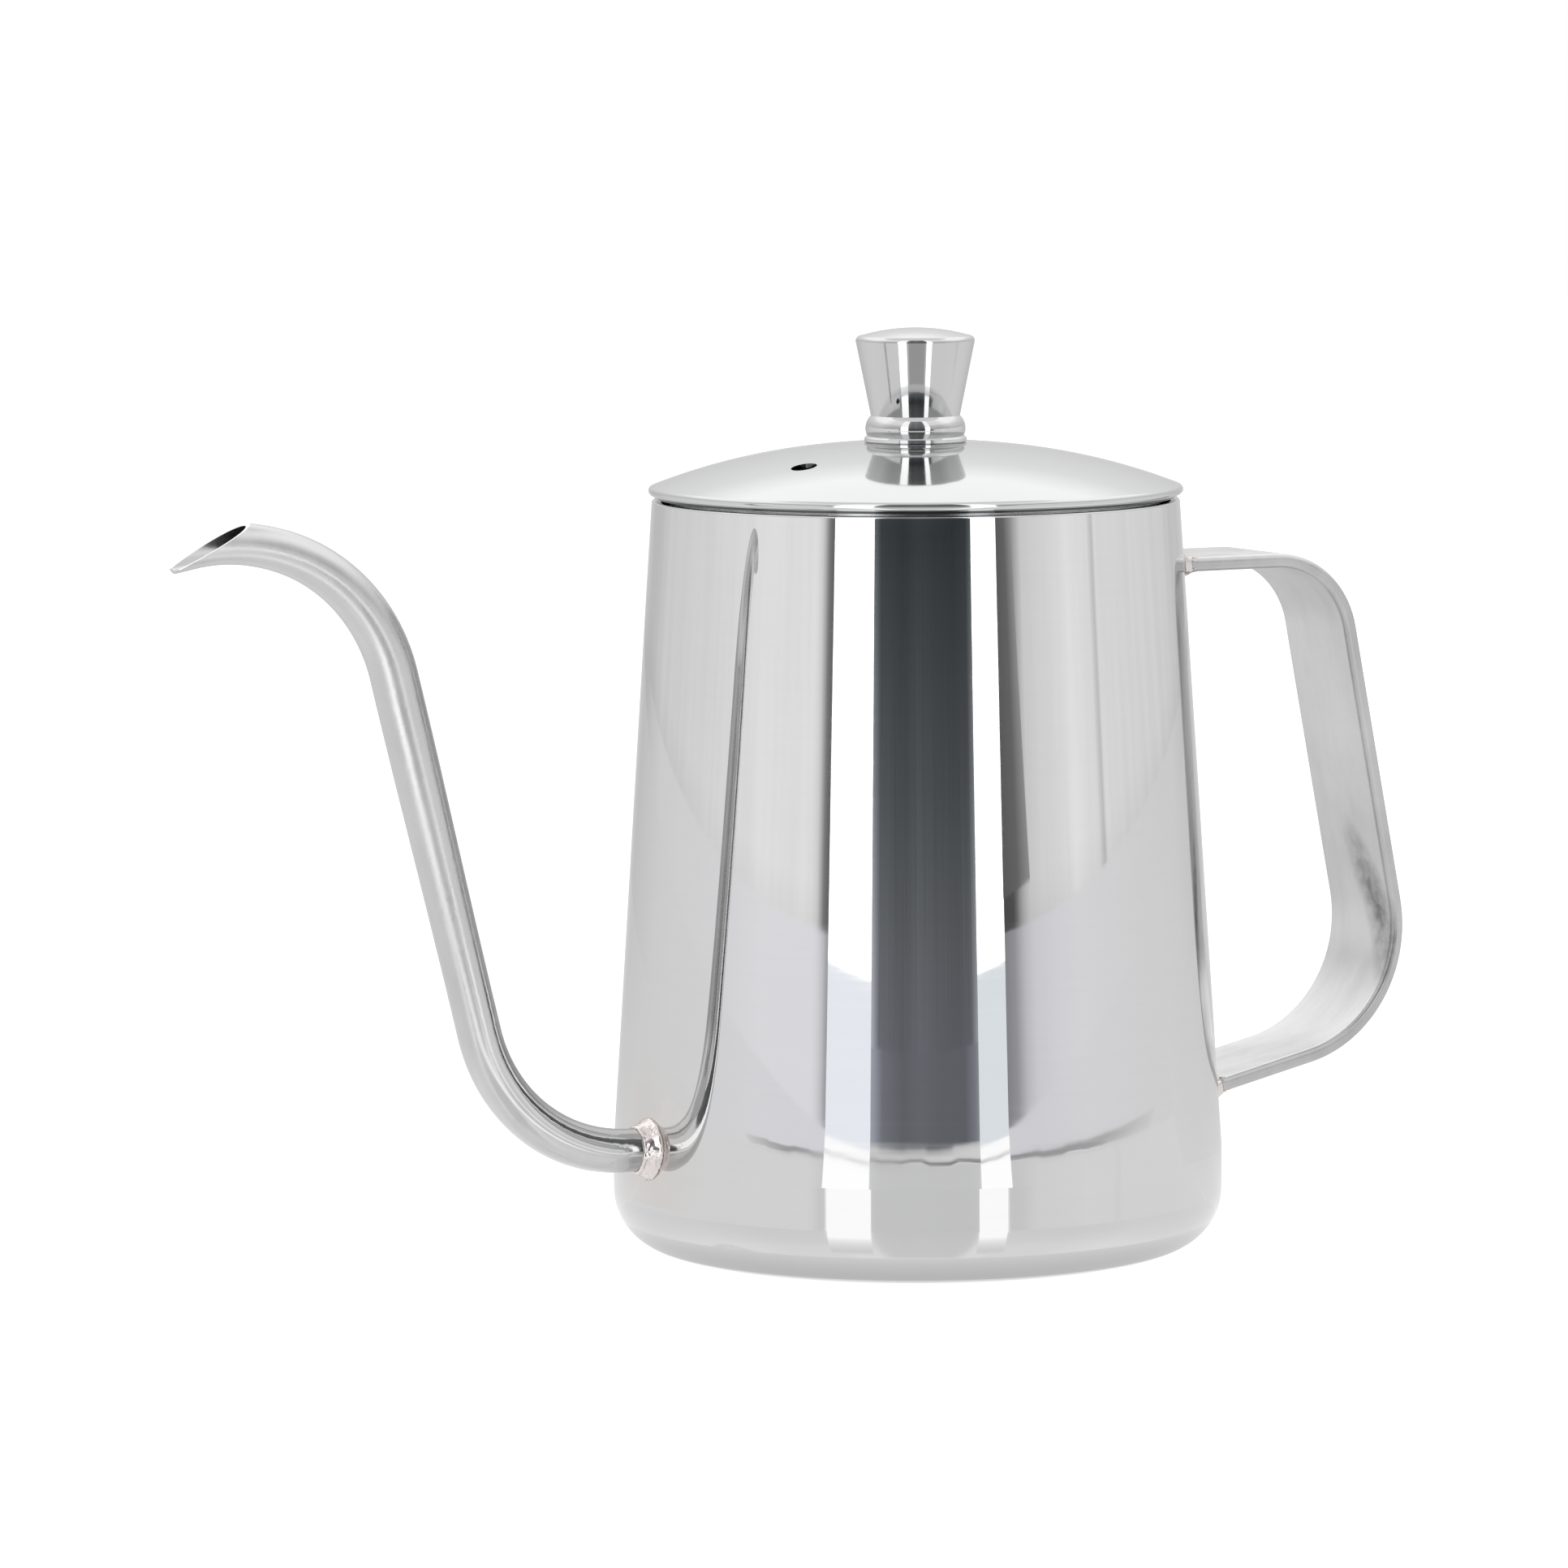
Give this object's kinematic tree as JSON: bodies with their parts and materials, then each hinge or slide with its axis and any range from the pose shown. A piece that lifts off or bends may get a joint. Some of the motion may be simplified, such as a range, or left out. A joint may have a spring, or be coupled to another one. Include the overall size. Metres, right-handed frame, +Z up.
{
  "type": "gooseneck kettle",
  "caption": "Polished steel drip kettle with a tapered round body, thin gooseneck spout low on one side, flat strap handle opposite and a lift-off domed lid with a turned knob.",
  "frame": {"origin": "on the body's axis at the face the kettle stands on", "axes": "+Z up along the body's axis, +X towards the handle, -X towards the spout; spout and handle lie in the XZ plane"},
  "size_m": [0.2202, 0.1, 0.1507],
  "materials": {
    "polished_steel": "mirror polished stainless steel",
    "lid_steel": "polished stainless steel, slightly hazy",
    "satin_steel": "satin stainless steel",
    "braze_steel": "dressed braze and weld metal",
    "fastener_steel": "plain stainless steel"
  },
  "bodies": {
    "kettle": {"body_shell": "polished_steel", "base_pan": "polished_steel", "spout_tube": "polished_steel", "spout_collar": "braze_steel", "handle_strap": "satin_steel", "handle_weld_upper": "braze_steel", "handle_weld_lower": "braze_steel"},
    "lid": {"lid_cover": "lid_steel", "lid_skirt": "satin_steel", "knob": "polished_steel", "knob_screw": "fastener_steel", "knob_washer": "fastener_steel", "knob_lock_washer": "fastener_steel"}
  },
  "joints": [
    {"name": "lid_lift", "type": "slide", "parent": "kettle", "child": "lid", "axis": [0, 0, 1], "range_m": [0, 0.07]}
  ]
}
